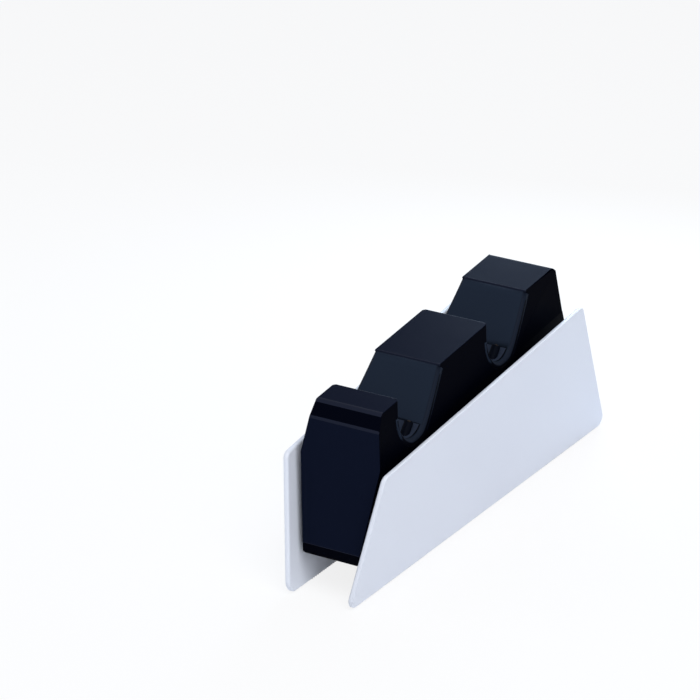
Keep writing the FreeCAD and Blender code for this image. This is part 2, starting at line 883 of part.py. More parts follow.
def make_cover_screws():
    body = new_body("cover_screws")
    heads = new_sketch(body, "XY_Plane", "base_height + screw_head_height")
    shanks = new_sketch(body, "XY_Plane", "base_height + screw_head_height")
    for y in cover_screw_places():
        circle(heads, "0", y, "screw_head_diameter")
        circle(shanks, "0", y, "screw_diameter")
    pad(body, heads, "screw_head_height", backwards=True)
    pad(body, shanks, "screw_length")
    keep("cover_screws", body)


# Side plates

PLATE_ACROSS = "(plate_thickness / cos(plate_lean))"


def plate_inner_at(z):
    return f"(foot_width / 2 - {PLATE_ACROSS} + tan(plate_lean) * ({z}))"


def plate_outer_at(z):
    return f"(foot_width / 2 + tan(plate_lean) * ({z}))"


def plate_front_at(z):
    return station(f"tan(plate_front_rake) * ({z})")


def plate_rear_at(z):
    return station(f"plate_length - tan(plate_rear_rake) * ({z})")


def make_plate(name, side):
    """Leaning plate with shoulders cut to the housing's side and staking tabs."""
    sign = "-" if side < 0 else ""
    body = new_body(f"{name}_blank")
    low = "-strip_depth"
    high = "plate_rear_height + strip_depth"
    profile = new_sketch(body, "XZ_Plane", f"-{TOE}")
    outline(profile, [
        (f"{sign}{plate_outer_at(low)}", low),
        (f"{sign}{plate_outer_at(high)}", high),
        (f"{sign}{plate_inner_at(high)}", high),
        (f"{sign}{plate_inner_at(low)}", low),
    ])
    pad(body, profile, "plate_length", backwards=True)
    corners = [
        (plate_front_at("strip_proud"), "strip_proud", "plate_front_corner"),
        (plate_front_at("plate_front_height"), "plate_front_height", "plate_top_corner"),
        (plate_rear_at("plate_rear_height"), "plate_rear_height", "plate_top_corner"),
        (plate_rear_at("strip_proud"), "strip_proud", "plate_heel_corner"),
    ]
    trim(body, [corner[:2] for corner in corners])
    for y, z, radius in corners:
        fillet(body, lambda edge: runs_along(edge, Vector(1, 0, 0)) and near_place(edge, y, z), radius)
    bevel(body, lambda edge: on_plane(edge, side, plate_inner_at), "plate_inner_bevel")
    bevel(body, lambda edge: on_plane(edge, side, plate_outer_at), "plate_outer_bevel")
    for y, z in tab_places():
        shoulder = new_sketch(body, "YZ_Plane", f"{sign}(top_half_width / 2)")
        block(shoulder, y, z, "tab_shoulder", "tab_shoulder")
        reach = f"{plate_inner_at(z)} + plate_thickness / 2 - top_half_width / 2"
        pad(body, shoulder, reach, backwards=side < 0)
    for start in strip_starts():
        groove = new_sketch(body, "XY_Plane")
        strip_outline(groove, side, start)
        pocket(body, groove, "strip_proud + strip_depth", backwards=True)
    seat = new_body(f"{name}_seat")
    hull(seat, "-fit")
    tabs = new_body(f"{name}_tabs")
    for y, z in tab_places():
        sketch = new_sketch(tabs, "YZ_Plane", f"{sign}({SIDE_AT_TAB} - wall - tab_end)")
        block(sketch, y, z, "tab_width", "tab_height")
        reach = f"{plate_inner_at(z)} + plate_thickness / 2 - {SIDE_AT_TAB} + wall + tab_end"
        pad(tabs, sketch, reach, backwards=side < 0)
    keep(name, join(f"{name}_tabbed", cut(f"{name}_seated", body, seat), tabs))


def on_plane(edge, side, plane_at):
    """True for an edge that lies wholly in one face plane of a plate."""
    span = edge.LastParameter - edge.FirstParameter
    points = [edge.valueAt(edge.FirstParameter + share * span) for share in (0, 0.5, 1)]
    foot = value(plane_at("0"))
    slope = math.tan(math.radians(value("plate_lean")))
    return all(abs(side * point.x - foot - slope * point.z) < TOUCHING for point in points)


def strip_starts():
    return station("strip_inset"), station("plate_length - strip_inset - strip_length")


def strip_outline(sketch, side, start):
    """Footprint of a rubber strip, centred on the flat of the standing edge."""
    centre = f"(foot_width / 2 - ({PLATE_ACROSS} + plate_outer_bevel - plate_inner_bevel) / 2)"
    x = (f"{side} * {centre} - strip_width / 2", f"{side} * {centre} + strip_width / 2")
    rectangle(sketch, x[0], start, x[1], f"{start} + strip_length")


def make_strip(name, side, start):
    body = new_body(name)
    sketch = new_sketch(body, "XY_Plane")
    strip_outline(sketch, side, start)
    pad(body, sketch, "strip_proud + strip_depth")
    keep(name, body)


# Electrics and ballast

def control_board_ends(inset="0"):
    """Front and rear of the board: behind the last cover screw, just short of the inlet."""
    return (
        f"({cover_screw_places()[-1]} + board_behind_screw + {inset})",
        f"({INLET_FRONT} - board_before_inlet - {inset})",
    )


def make_control_board():
    body = new_body("control_board")
    sketch = new_sketch(body, "XY_Plane", BOARD_LOW)
    front, rear = control_board_ends()
    half = f"({side_inside(rear, BOARD_LOW)} - board_play)"
    rectangle(sketch, f"-{half}", front, half, rear)
    pad(body, sketch, "board_thickness")
    keep("control_board", body)


def make_power_inlet():
    """Square-backed inlet with a round nose that fills the hole in the housing."""
    body = new_body("power_inlet")
    back = new_sketch(body, "XZ_Plane", f"-{INLET_FRONT}")
    half = "inlet_width / 2"
    rectangle(back, f"-{half}", BOARD_TOP, half, f"{BOARD_TOP} + inlet_height")
    pad(body, back, "inlet_length")
    nose = new_sketch(body, "XZ_Plane", f"-{INLET_FRONT}")
    circle(nose, "0", INLET_MIDDLE, "inlet_nose")
    pad(body, nose, "wall", backwards=True)
    bore = new_sketch(body, "XZ_Plane", f"-{INLET_REAR}")
    circle(bore, "0", INLET_MIDDLE, "inlet_bore")
    pocket(body, bore, "inlet_bore_depth", backwards=True)
    keep("power_inlet", body)


def make_inlet_pin():
    body = new_body("inlet_pin")
    sketch = new_sketch(body, "XZ_Plane", f"-({INLET_REAR} - inlet_pin_set)")
    circle(sketch, "0", INLET_MIDDLE, "inlet_pin_diameter")
    pad(body, sketch, "inlet_bore_depth - inlet_pin_set")
    keep("inlet_pin", body)


def make_ballast(name, bay):
    """Steel bar lying between two of the housing's cross ribs."""
    body = new_body(name)
    gap = "(boss_diameter / 2 + ballast_play)"
    front = f"{cover_screw_places()[bay]} + {gap}"
    rear = f"{cover_screw_places()[bay]} + cover_screw_pitch - {gap}"
    sketch = new_sketch(body, "XY_Plane", PLUG_TOP)
    half = f"({side_inside(rear, PLUG_TOP)} - ballast_play)"
    rectangle(sketch, f"-{half}", front, half, rear)
    pad(body, sketch, "ballast_height")
    bevel(body, lambda edge: runs_along(edge, Vector(0, 0, 1)), "ballast_bevel")
    keep(name, body)


def make_lead(name, side, path):
    """Flat lead along a path that only runs rearwards and down."""
    body = new_body(name)
    half = "lead_thickness / 2"
    upper = [(f"{y} + {half}", f"{z} + {half}") for y, z in path]
    lower = [(f"{y} - {half}", f"{z} - {half}") for y, z in reversed(path)]
    sketch = new_sketch(body, "YZ_Plane", f"{side} * lead_offset")
    outline(sketch, upper + lower)
    pad(body, sketch, "lead_width", symmetric=True)
    keep(name, body)


def lead_start(bay):
    """Two points that keep a lead flat under the rear end of a terminal board."""
    drop = f"({BOARD_UNDER} + lead_thickness / 2 * (sin(insert_angle) + cos(insert_angle)) + fit)"
    return [
        insert_place(bay, "terminal_board_back - lead_thickness", f"-{drop}"),
        insert_place(bay, "terminal_board_back + lead_thickness", f"-{drop}"),
    ]


def make_leads():
    """Front lead runs over the cross ribs, rear lead drops straight to the board."""
    landing = f"({BOARD_TOP} + lead_thickness / 2 + fit)"
    board_front = control_board_ends()[0]
    over_ribs = f"({PLUG_TOP} + rib_height + lead_lift)"
    front = lead_start(0)
    make_lead("front_lead", -1, front + [
        (f"{front[1][0]} + 2 * lead_width", f"{over_ribs} + lead_thickness"),
        (f"{board_front} - lead_width", over_ribs),
        (f"{board_front} + lead_width / 2", f"{over_ribs} - 2 * lead_width"),
        (f"{board_front} + lead_width", landing),
    ])
    rear = lead_start(1)
    make_lead("rear_lead", 1, rear + [
        (f"{rear[1][0]} + 2 * lead_width", f"{rear[1][1]} - lead_width"),
        (f"{board_front} + lead_width", f"{over_ribs} - lead_width"),
        (f"{board_front} + 1.5 * lead_width", landing),
    ])


# Assembly

make_main_shell()
make_base_cover()
make_cover_screws()
for place, bay in (("front", 0), ("rear", 1)):
    make_liner(f"{place}_cradle", bay)
    make_carrier(f"{place}_terminal_carrier", bay)
    make_contact(f"{place}_left_contact", bay, -1)
    make_contact(f"{place}_right_contact", bay, 1)
    make_terminal_board(f"{place}_terminal_board", bay)
    make_terminal_screw(f"{place}_terminal_screw", bay)
    make_ballast(f"{place}_ballast", bay)
for hand, side in (("left", -1), ("right", 1)):
    make_plate(f"{hand}_side_plate", side)
    for place, start in zip(("front", "rear"), strip_starts()):
        make_strip(f"{place}_{hand}_foot_strip", side, start)
make_control_board()
make_power_inlet()
make_inlet_pin()
make_leads()
document.recompute()

for item in document.Objects:
    if "Invalid" in item.State or "Error" in item.State:
        raise RuntimeError(f"{item.Label} did not build")
for node, piece in pieces.items():
    if piece.Shape.isNull() or not piece.Shape.isValid():
        raise RuntimeError(f"{node} has no valid shape")

os.makedirs("parts", exist_ok=True)
for node, piece in pieces.items():
    piece.Shape.exportStep(f"parts/{node}.step")
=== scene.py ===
"""Looks of a two-bay controller charging dock.

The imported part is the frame. Every piece made here stands for one of its nodes or
dresses it, keeps its place and size, and rides on its only body. Lengths are in
metres, apart from those whose names end in _mm, and angles are in degrees.
"""
import logging
import math
from dataclasses import dataclass, field
from enum import Enum
from typing import Any, Iterable, Mapping, Sequence, Union

import bmesh
import bpy
from mathutils import Matrix, Vector
from mathutils.bvhtree import BVHTree


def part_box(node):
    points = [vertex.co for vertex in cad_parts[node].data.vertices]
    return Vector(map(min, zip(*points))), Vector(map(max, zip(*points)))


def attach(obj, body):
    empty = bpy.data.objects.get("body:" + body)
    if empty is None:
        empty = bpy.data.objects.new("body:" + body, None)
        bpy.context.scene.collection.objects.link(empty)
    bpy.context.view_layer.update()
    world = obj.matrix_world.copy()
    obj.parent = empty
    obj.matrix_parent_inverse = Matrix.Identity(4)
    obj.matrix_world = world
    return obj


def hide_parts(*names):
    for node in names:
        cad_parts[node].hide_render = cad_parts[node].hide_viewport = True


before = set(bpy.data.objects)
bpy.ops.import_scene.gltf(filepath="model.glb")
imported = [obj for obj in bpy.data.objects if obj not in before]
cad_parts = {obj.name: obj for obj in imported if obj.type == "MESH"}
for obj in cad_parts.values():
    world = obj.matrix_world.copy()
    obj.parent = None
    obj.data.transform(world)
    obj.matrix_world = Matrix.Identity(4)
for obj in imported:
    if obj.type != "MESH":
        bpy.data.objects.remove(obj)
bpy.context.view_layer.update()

LOG = logging.getLogger("charging_dock")
BODY = "root"
MM = 0.001
WHITE = (1.0, 1.0, 1.0, 1.0)
NOISE_MIDDLE = 0.5
# Places among a mesh's materials of the painted light: highlight, light or shade second, dark
# reflection third
PAINTED_LIGHT_INDEX = 1
DARK_REFLECTION_INDEX = 2
# Share of its direction that an edge across the dock has from left to right
ACROSS_LEAST = 0.9
# Low and high corner of the box about the inlet's mouth in the tail, in mm
INLET_MOUTH_MM = (Vector((-8.0, 60.0, 14.0)), Vector((8.0, 73.0, 32.0)))

Rgb = tuple[int, int, int]
Colour = Union[Rgb, bpy.types.NodeSocket]
Value = Union["Field", float, int, bpy.types.NodeSocket]


def linear(colour: Rgb) -> tuple[float, float, float, float]:
    """Turn a colour as a screen shows it into linear values, by the sRGB curve.

    Args:
        colour: Red, green and blue from 0 to 255.

    Returns:
        Linear red, green and blue from 0 to 1, with an alpha of 1.
    """
    shares = [channel / 255 for channel in colour]
    red, green, blue = (
        share / 12.92 if share <= 0.04045 else ((share + 0.055) / 1.055) ** 2.4 for share in shares
    )
    return red, green, blue, 1.0


class Field:
    """A socket in a node graph that Python arithmetic extends with Math nodes."""

    def __init__(self, graph: "NodeGraph", socket: bpy.types.NodeSocket) -> None:
        """Wrap an output socket of a node in the graph."""
        self.graph = graph
        self.socket = socket

    def _math(self, operation: str, first: Value, second: Value) -> "Field":
        """Add one Math node and wrap its result."""
        node = self.graph.node("ShaderNodeMath", {"operation": operation}, {0: first, 1: second})
        return Field(self.graph, node.outputs[0])

    def __add__(self, other: Value) -> "Field":
        """Sum of the field and another value."""
        return self._math("ADD", self, other)

    def __radd__(self, other: Value) -> "Field":
        """Sum with a plain number on the left."""
        return self._math("ADD", other, self)

    def __sub__(self, other: Value) -> "Field":
        """Difference of the field and another value."""
        return self._math("SUBTRACT", self, other)

    def __rsub__(self, other: Value) -> "Field":
        """Difference with a plain number on the left."""
        return self._math("SUBTRACT", other, self)

    def __mul__(self, other: Value) -> "Field":
        """Product of the field and another value."""
        return self._math("MULTIPLY", self, other)

    def __rmul__(self, other: Value) -> "Field":
        """Product with a plain number on the left."""
        return self._math("MULTIPLY", other, self)

    def __truediv__(self, other: Value) -> "Field":
        """Quotient of the field and another value."""
        return self._math("DIVIDE", self, other)

    def __rtruediv__(self, other: Value) -> "Field":
        """Quotient with a plain number on the left."""
        return self._math("DIVIDE", other, self)

    def __abs__(self) -> "Field":
        """The field without its sign."""
        return self._math("ABSOLUTE", self, 0.0)

    def larger(self, other: Value) -> "Field":
        """The larger of the field and another value."""
        return self._math("MAXIMUM", self, other)


class NodeGraph:
    """Any node tree, with one method that adds every kind of node."""

    def __init__(self, tree: bpy.types.NodeTree) -> None:
        """Start from an emptied tree."""
        self.tree = tree
        tree.nodes.clear()

    def node(
        self,
        kind: str,
        settings: Mapping[str, Any] | None = None,
        values: Mapping[str | int, Any] | None = None,
    ) -> bpy.types.Node:
        """Add a node, set it up and feed its sockets.

        Args:
            kind: The node's type name.
            settings: Properties that are set first.
            values: Numbers, colours, sockets or fields, by input name or index.

        Returns:
            The new node.
        """
        made = self.tree.nodes.new(kind)
        for name, setting in (settings or {}).items():
            setattr(made, name, setting)
        for name, given in (values or {}).items():
            source = given.socket if isinstance(given, Field) else given
            if isinstance(source, bpy.types.NodeSocket):
                self.tree.links.new(source, made.inputs[name])
            else:
                made.inputs[name].default_value = source
        return made

    def field(self, node: bpy.types.Node, output: str | int = 0) -> Field:
        """Wrap one output of a node."""
        return Field(self, node.outputs[output])

    def seen_directly(self) -> Field:
        """Tell rays that show the surroundings from rays that only light by them.

        Returns:
            A mask that is 1 for camera, glossy and transmission rays, else 0.
        """
        path = self.node("ShaderNodeLightPath")
        camera = self.field(path, "Is Camera Ray")
        glossy = self.field(path, "Is Glossy Ray")
        return camera.larger(glossy).larger(self.field(path, "Is Transmission Ray"))


class SurfaceGraph(NodeGraph):
    """The graph of one material, laid out on Object coordinates.

    Attributes:
        COLOUR_INPUTS: Places of a Mix node's two colours among its inputs.
        COLOUR_OUTPUT: Place of its colour among its outputs.
    """

    COLOUR_INPUTS = (6, 7)
    COLOUR_OUTPUT = 2

    def __init__(self, name: str) -> None:
        """Make the material and its coordinates.

        Args:
            name: Name of the material.
        """
        self.material = bpy.data.materials.new(name)
        self.material.use_nodes = True
        super().__init__(self.material.node_tree)
        self.place = self.node("ShaderNodeTexCoord").outputs["Object"]

    def noise(self, size_mm: float, detail: float = 2.0, stretch: Vector | None = None) -> Field:
        """Soft noise with features of a given size.

        Args:
            size_mm: Rough size of one feature.
            detail: How much finer noise is added.
            stretch: Factor by which the pattern is squeezed along each axis.

        Returns:
            A field that varies about 0.5.
        """
        place = self.place
        if stretch is not None:
            mapping = self.node("ShaderNodeMapping", None, {"Vector": place, "Scale": stretch})
            place = mapping.outputs["Vector"]
        values = {"Vector": place, "Scale": 1 / (size_mm * MM), "Detail": detail}
        noise = self.node("ShaderNodeTexNoise", {"noise_dimensions": "3D"}, values)
        return self.field(noise, "Fac")

    def sideways(self, start: float, full: float) -> Field:
        """Mask that grows as a surface turns to face left or right, which places the painted side
        shade.

        Args:
            start: Share of the normal that points sideways where the mask leaves 0.
            full: Share where it reaches 1.

        Returns:
            A field that a clamped blend reads as 0 to 1.
        """
        normal = self.node("ShaderNodeNewGeometry").outputs["Normal"]
        across = self.field(self.node("ShaderNodeSeparateXYZ", None, {0: normal}), "X")
        return (abs(across) - start) / (full - start)

    def mix(self, share: Value, first: Colour, second: Colour) -> bpy.types.NodeSocket:
        """Blend two colours.

        Args:
            share: Share of the second colour, clamped to 0 and 1.
            first: Colour where the share is 0.
            second: Colour where it is 1.

        Returns:
            The socket of the blended colour.
        """
        values: dict[str | int, Any] = {"Factor": share}
        for place, end in zip(self.COLOUR_INPUTS, (first, second)):
            values[place] = linear(end) if isinstance(end, tuple) else end
        node = self.node("ShaderNodeMix", {"data_type": "RGBA", "clamp_factor": True}, values)
        return node.outputs[self.COLOUR_OUTPUT]

    def bump(self, height: Value, depth_mm: float) -> bpy.types.NodeSocket:
        """Normal of a surface whose height varies by up to a given depth."""
        values = {"Strength": 1.0, "Distance": depth_mm * MM, "Height": height}
        return self.node("ShaderNodeBump", None, values).outputs["Normal"]

    def finish(self, values: Mapping[str, Any]) -> bpy.types.Material:
        """Close the graph with a Principled surface.

        Args:
            values: The surface's inputs, by name.

        Returns:
            The finished material.
        """
        surface = self.node("ShaderNodeBsdfPrincipled", None, values)
        self.node("ShaderNodeOutputMaterial", None, {"Surface": surface.outputs[0]})
        return self.material


class Grain(Enum):
    """Grades of the texture that a mould leaves: feature size and depth in mm."""

    POLISHED = (1.6, 0.0008)
    FINE = (0.45, 0.004)
    COARSE = (0.6, 0.010)


@dataclass(frozen=True)
class MouldedPlastic:
    """Injection-moulded plastic: a mould grain over a faint drift in colour.

    Attributes:
        colour: Base colour.
        drift: Colour that it drifts to over drift_mm.
        roughness: Mean roughness, which varies by roughness_spread.
        specular: Specular level of the surface.
        grain: Texture that the mould leaves.
        painted_side_shade: Painted shade, a deeper colour for the dark reflections on faces that
            look sideways.
        painted_side_shade_turn: Sideways shares of the normal at which that painted shade starts
            and is full.
    """

    name: str
    colour: Rgb
    drift: Rgb
    roughness: float
    specular: float
    grain: Grain
    painted_side_shade: Rgb | None = None
    painted_side_shade_turn: tuple[float, float] = (0.55, 0.85)
    roughness_spread: float = 0.12
    drift_mm: float = 38.0
    smudge_mm: float = 9.5
    grain_detail: float = 3.0
    smudge_detail: float = 4.0

    def material(self) -> bpy.types.Material:
        """Build the finish's material.

        Returns:
            The new material.
        """
        graph = SurfaceGraph(self.name)
        size_mm, depth_mm = self.grain.value
        grain = graph.noise(size_mm, self.grain_detail)
        smudge = graph.noise(self.smudge_mm, self.smudge_detail)
        colour = graph.mix(graph.noise(self.drift_mm), self.colour, self.drift)
        # Painted shade: faces that look left or right take the near-black flank colour, for the
        # dark reflections on the sides.
        if self.painted_side_shade is not None:
            colour = graph.mix(graph.sideways(*self.painted_side_shade_turn), colour, self.painted_side_shade)
        return graph.finish({
            "Base Color": colour,
            "Roughness": self.roughness + (smudge - NOISE_MIDDLE) * self.roughness_spread,
            "Specular IOR Level": self.specular,
            "Normal": graph.bump(grain, depth_mm),
        })


@dataclass(frozen=True)
class BareMetal:
    """Turned, plated or drawn metal with fine marks along one direction."""

    name: str
    colour: Rgb
    tarnish: Rgb
    roughness: float
    mark_mm: float = 0.25
    mark_depth_mm: float = 0.002
    mark_detail: float = 3.0
    mark_stretch: Vector = field(default_factory=lambda: Vector((1.0, 0.08, 1.0)))
    tarnish_mm: float = 4.0
    roughness_spread: float = 0.2

    def material(self) -> bpy.types.Material:
        """Build the finish's material.

        Returns:
            The new material.
        """
        graph = SurfaceGraph(self.name)
        marks = graph.noise(self.mark_mm, self.mark_detail, self.mark_stretch)
        return graph.finish({
            "Base Color": graph.mix(graph.noise(self.tarnish_mm), self.colour, self.tarnish),
            "Metallic": 1.0,
            "Roughness": self.roughness + (marks - NOISE_MIDDLE) * self.roughness_spread,
            "Normal": graph.bump(marks, self.mark_depth_mm),
        })


@dataclass(frozen=True)
class CircuitBoard:
    """Solder mask over copper tracks that run in a coarse, uneven grid."""

    name: str = "solder_mask"
    mask: Rgb = (24, 92, 48)
    track: Rgb = (44, 124, 66)
    track_pitch_mm: float = 2.4
    track_unevenness: float = 0.6
    track_contrast: float = 1.6
    track_height_mm: float = 0.03
    roughness: float = 0.35
    roughness_spread: float = 0.1
    smudge_mm: float = 3.0

    def material(self) -> bpy.types.Material:
        """Build the finish's material.

        Returns:
            The new material.
        """
        graph = SurfaceGraph(self.name)
        cells = graph.node("ShaderNodeTexVoronoi", {"distance": "CHEBYCHEV"}, {
            "Vector": graph.place,
            "Scale": 1 / (self.track_pitch_mm * MM),
            "Randomness": self.track_unevenness,
        })
        tracks = graph.field(cells, "Distance")
        return graph.finish({
            "Base Color": graph.mix(tracks * self.track_contrast, self.mask, self.track),
            "Roughness": self.roughness + graph.noise(self.smudge_mm) * self.roughness_spread,
            "Normal": graph.bump(tracks, self.track_height_mm),
        })


# Painted shade for faces that look sideways: near black, for the dark reflections on the sides
PAINTED_SIDE_SHADE = (1, 2, 8)
SHELL_BLACK = MouldedPlastic(
    "satin_black_plastic", (12, 17, 32), (14, 19, 34), 0.40, 0.005, Grain.FINE, painted_side_shade=PAINTED_SIDE_SHADE
)
# Painted dark reflection: the brow's chamfer takes a near-black copy of the shell plastic, for the
# dark surroundings that it reflects.
SHELL_PAINTED_DARK_REFLECTION = MouldedPlastic(
    "black_plastic_painted_dark_reflection", (2, 3, 12), (3, 5, 14), 0.25, 0.005, Grain.POLISHED
)
# Painted highlight: rounded edges that run across take a lighter copy of the shell plastic, for the
# light lines that they catch.
SHELL_PAINTED_HIGHLIGHT = MouldedPlastic(
    "black_plastic_painted_highlight", (22, 26, 40), (24, 28, 42), 0.35, 0.04, Grain.POLISHED
)
# Painted shade: the base cover is near black, a tone for the shade on the lip under the housing.
COVER_PAINTED_SHADE = MouldedPlastic(
    "cover_plastic_painted_shade", (2, 3, 9), (4, 5, 11), 0.55, 0.005, Grain.FINE
)
# The cradle's faces that look sideways take the same painted shade.
CRADLE_BLACK = MouldedPlastic(
    "cradle_matte_plastic", (26, 34, 47), (29, 37, 50), 0.62, 0.02, Grain.COARSE,
    painted_side_shade=PAINTED_SIDE_SHADE, painted_side_shade_turn=(0.85, 0.95),
)
# Painted light: the liner's chamfered rim takes a copy of the cradle plastic in its own tone, for
# how the chamfer catches the lamps.
CRADLE_RIM_PAINTED_LIGHT = MouldedPlastic(
    "cradle_rim_painted_light", (20, 26, 38), (23, 29, 41), 0.50, 0.03, Grain.FINE
)
CARRIER_BLACK = MouldedPlastic(
    "carrier_matte_plastic", (36, 43, 57), (39, 46, 60), 0.55, 0.02, Grain.FINE
)
# Painted shade: the posts of the floor insert take a near-black copy of its plastic, for the shade
# that they stand in.
POST_PAINTED_SHADE = MouldedPlastic("post_plastic_painted_shade", (4, 7, 16), (6, 9, 18), 0.5, 0.02, Grain.FINE)
INLET_BLACK = MouldedPlastic("inlet_plastic", (14, 14, 16), (18, 18, 20), 0.4, 0.4, Grain.FINE)
PLATE_WHITE = MouldedPlastic(
    "side_plate_white", (214, 218, 228), (218, 222, 231), 0.42, 0.4, Grain.POLISHED
)
FOOT_RUBBER = MouldedPlastic("foot_rubber", (52, 53, 56), (60, 61, 64), 0.82, 0.25, Grain.COARSE)
LEAD_JACKET = MouldedPlastic(
    "lead_jacket", (196, 196, 190), (206, 206, 200), 0.5, 0.4, Grain.FINE
)
# Painted shade: the contacts' gold is darkened for the shade of the recess that they sit in; its
# tarnish varies at random.
GOLD_PAINTED_SHADE = BareMetal("gold_plate_painted_shade", (60, 51, 38), (50, 43, 32), 0.6)
ZINC = BareMetal("zinc_plate", (186, 188, 190), (160, 163, 166), 0.32)
STEEL = BareMetal(
    "ballast_steel", (120, 122, 124), (96, 98, 100), 0.45, mark_mm=0.6, mark_depth_mm=0.01
)
BOARD = CircuitBoard()

Finish = Union[MouldedPlastic, BareMetal, CircuitBoard]
_materials: dict[str, bpy.types.Material] = {}


def material_of(finish: Finish) -> bpy.types.Material:
    """Give a finish's material, made once and shared by all its pieces.

    Args:
        finish: The finish that a piece takes.

    Returns:
        Its material.
    """
    if finish.name not in _materials:
        _materials[finish.name] = finish.material()
    return _materials[finish.name]


def plain_mesh(working: bpy.types.Object, name: str) -> bpy.types.Object:
    """Turn an object with modifiers into a plain mesh object.

    Args:
        working: The object, which is removed.
        name: Name of the new object.

    Returns:
        The new object, with no modifiers.
    """
    bpy.context.view_layer.update()
    graph = bpy.context.evaluated_depsgraph_get()
    mesh = bpy.data.meshes.new_from_object(
        working.evaluated_get(graph), preserve_all_data_layers=True, depsgraph=graph
    )
    bpy.data.objects.remove(working)
    mesh.name = name
    made = bpy.data.objects.new(name, mesh)
    bpy.context.scene.collection.objects.link(made)
    return made


class Glint(Enum):
    """Which edges take a painted highlight: none, or those that run across the dock."""

    NONE = "none"
    ACROSS = "across"


def runs_across(edge: bmesh.types.BMEdge) -> bool:
    """Tell whether an edge runs from left to right."""
    return abs((edge.verts[0].co - edge.verts[1].co).normalized().x) > ACROSS_LEAST


@dataclass(frozen=True)
class LitEdge:
    """A rounded edge whose rounding takes the painted highlight, the second material of its mesh.

    Attributes:
        start: One end of the edge before it was rounded.
        end: Its other end.
        width: How far from the edge the rounding reaches.
        normals: Normals of the faces beside it.
        material_index: Place of the painted highlight among the mesh's materials.
        least_turn: Angle by which the rounding turns from each of those faces at least.
    """

    start: Vector
    end: Vector
    width: float
    normals: tuple[Vector, ...]
    material_index: int = PAINTED_LIGHT_INDEX
    least_turn: float = 2.0

    def holds(self, face: bpy.types.MeshPolygon) -> bool:
        """Tell whether a face lies on the rounding.

        Args:
            face: A face of the rounded mesh.

        Returns:
            True if it is close to the edge and turned from both sides.
        """
        along = self.end - self.start
        share = (face.center - self.start).dot(along) / along.length_squared
        aside = face.center - self.start - along * min(1.0, max(0.0, share))
        turns = (math.degrees(face.normal.angle(normal)) for normal in self.normals)
        return aside.length < self.width and all(turn > self.least_turn for turn in turns)


@dataclass(frozen=True)
class EdgeRounding:
    """How the edges of a moulded piece are broken, by their direction and turn.

    Attributes:
        square_mm: Width of the rounding of edges that turn more than square_from.
        across_mm: Least width of those among them that run from left to right.
        bevel_mm: Least width at edges that turn more than bevel_from.
        crease_mm: Width at edges that turn more than crease_from, ahead of crease_until_mm.
        glint: Edges that take the painted highlight.
        face_share: Largest share of the narrower face beside an edge that a rounding takes.
        segments: Faces across a rounding.
        kept_box_mm: Low and high corner of a box whose edges stay as they are moulded.
    """

    square_mm: float
    across_mm: float = 0.0
    bevel_mm: float = 0.0
    crease_mm: float = 0.0
    crease_until_mm: float = -66.0
    glint: Glint = Glint.NONE
    square_from: float = 58.0
    bevel_from: float = 32.0
    crease_from: float = 8.0
    face_share: float = 0.4
    segments: int = 3
    kept_box_mm: tuple[Vector, Vector] | None = None

    def keeps(self, edge: bmesh.types.BMEdge) -> bool:
        """Tell whether an edge stays as it is moulded.

        Args:
            edge: An edge of the welded shape.

        Returns:
            True if it lies in the kept box.
        """
        if self.kept_box_mm is None:
            return False
        low, high = self.kept_box_mm
        ends = [vertex.co / MM for vertex in edge.verts]
        return all(low[axis] < end[axis] < high[axis] for end in ends for axis in range(3))

    def width_mm(self, edge: bmesh.types.BMEdge) -> float:
        """Width of the rounding that one edge takes.

        Args:
            edge: An edge of the welded shape.

        Returns:
            The width for its kind, at most a share of the narrower face beside it.
        """
        turn = math.degrees(edge.calc_face_angle(0.0))
        if turn > self.square_from:
            width = max(self.square_mm, self.across_mm) if runs_across(edge) else self.square_mm
        elif turn > self.bevel_from:
            width = max(self.square_mm, self.bevel_mm)
        else:
            ahead = max(vertex.co.y for vertex in edge.verts) < self.crease_until_mm * MM
            width = self.crease_mm if ahead and turn > self.crease_from else 0.0
        widths = (2 * face.calc_area() / face.calc_perimeter() for face in edge.link_faces)
        return min(width, self.face_share * min(widths, default=0.0) / MM)

    def apply(self, working: bpy.types.Object) -> list[LitEdge]:
        """Add the modifiers that round the edges and keep the flats flat.

        Args:
            working: The welded copy of a node.

        Returns:
            The edges whose rounding shows the painted highlight.
        """
        lit = []
        widest = max(self.square_mm, self.across_mm, self.bevel_mm, self.crease_mm)
        if widest > 0:
            shape = bmesh.new()
            shape.from_mesh(working.data)
            weights = shape.edges.layers.float.new("bevel_weight_edge")
            for edge in shape.edges:
                width = 0.0 if self.keeps(edge) else self.width_mm(edge)
                edge[weights] = width / widest
                if width > 0 and self.glint is Glint.ACROSS and runs_across(edge):
                    ends = [vertex.co.copy() for vertex in edge.verts]
                    normals = tuple(face.normal.copy() for face in edge.link_faces)
                    lit.append(LitEdge(*ends, width * MM, normals))
            shape.to_mesh(working.data)
            shape.free()
            bevel = working.modifiers.new("broken_edges", "BEVEL")
            bevel.width = widest * MM
            bevel.segments = self.segments
            bevel.limit_method = "WEIGHT"
            bevel.use_clamp_overlap = False
            bevel.loop_slide = False
        flats = working.modifiers.new("flats", "WEIGHTED_NORMAL")
        flats.keep_sharp = True
        return lit


AS_MOULDED = EdgeRounding(0.0)


@dataclass(frozen=True)
class FacingPatch:
    """Faces that look a given way and take painted light or shade; left and right count alike.

    Attributes:
        low: Least parts of the normal, the first without its sign.
        high: Largest parts.
        material_index: Place of the finish among the mesh's materials.
    """

    low: tuple[float, float, float]
    high: tuple[float, float, float]
    material_index: int

    def holds(self, face: bpy.types.MeshPolygon) -> bool:
        """Tell whether a face's normal lies in the range."""
        facing = (abs(face.normal.x), face.normal.y, face.normal.z)
        return all(low <= part <= high for low, part, high in zip(self.low, facing, self.high))


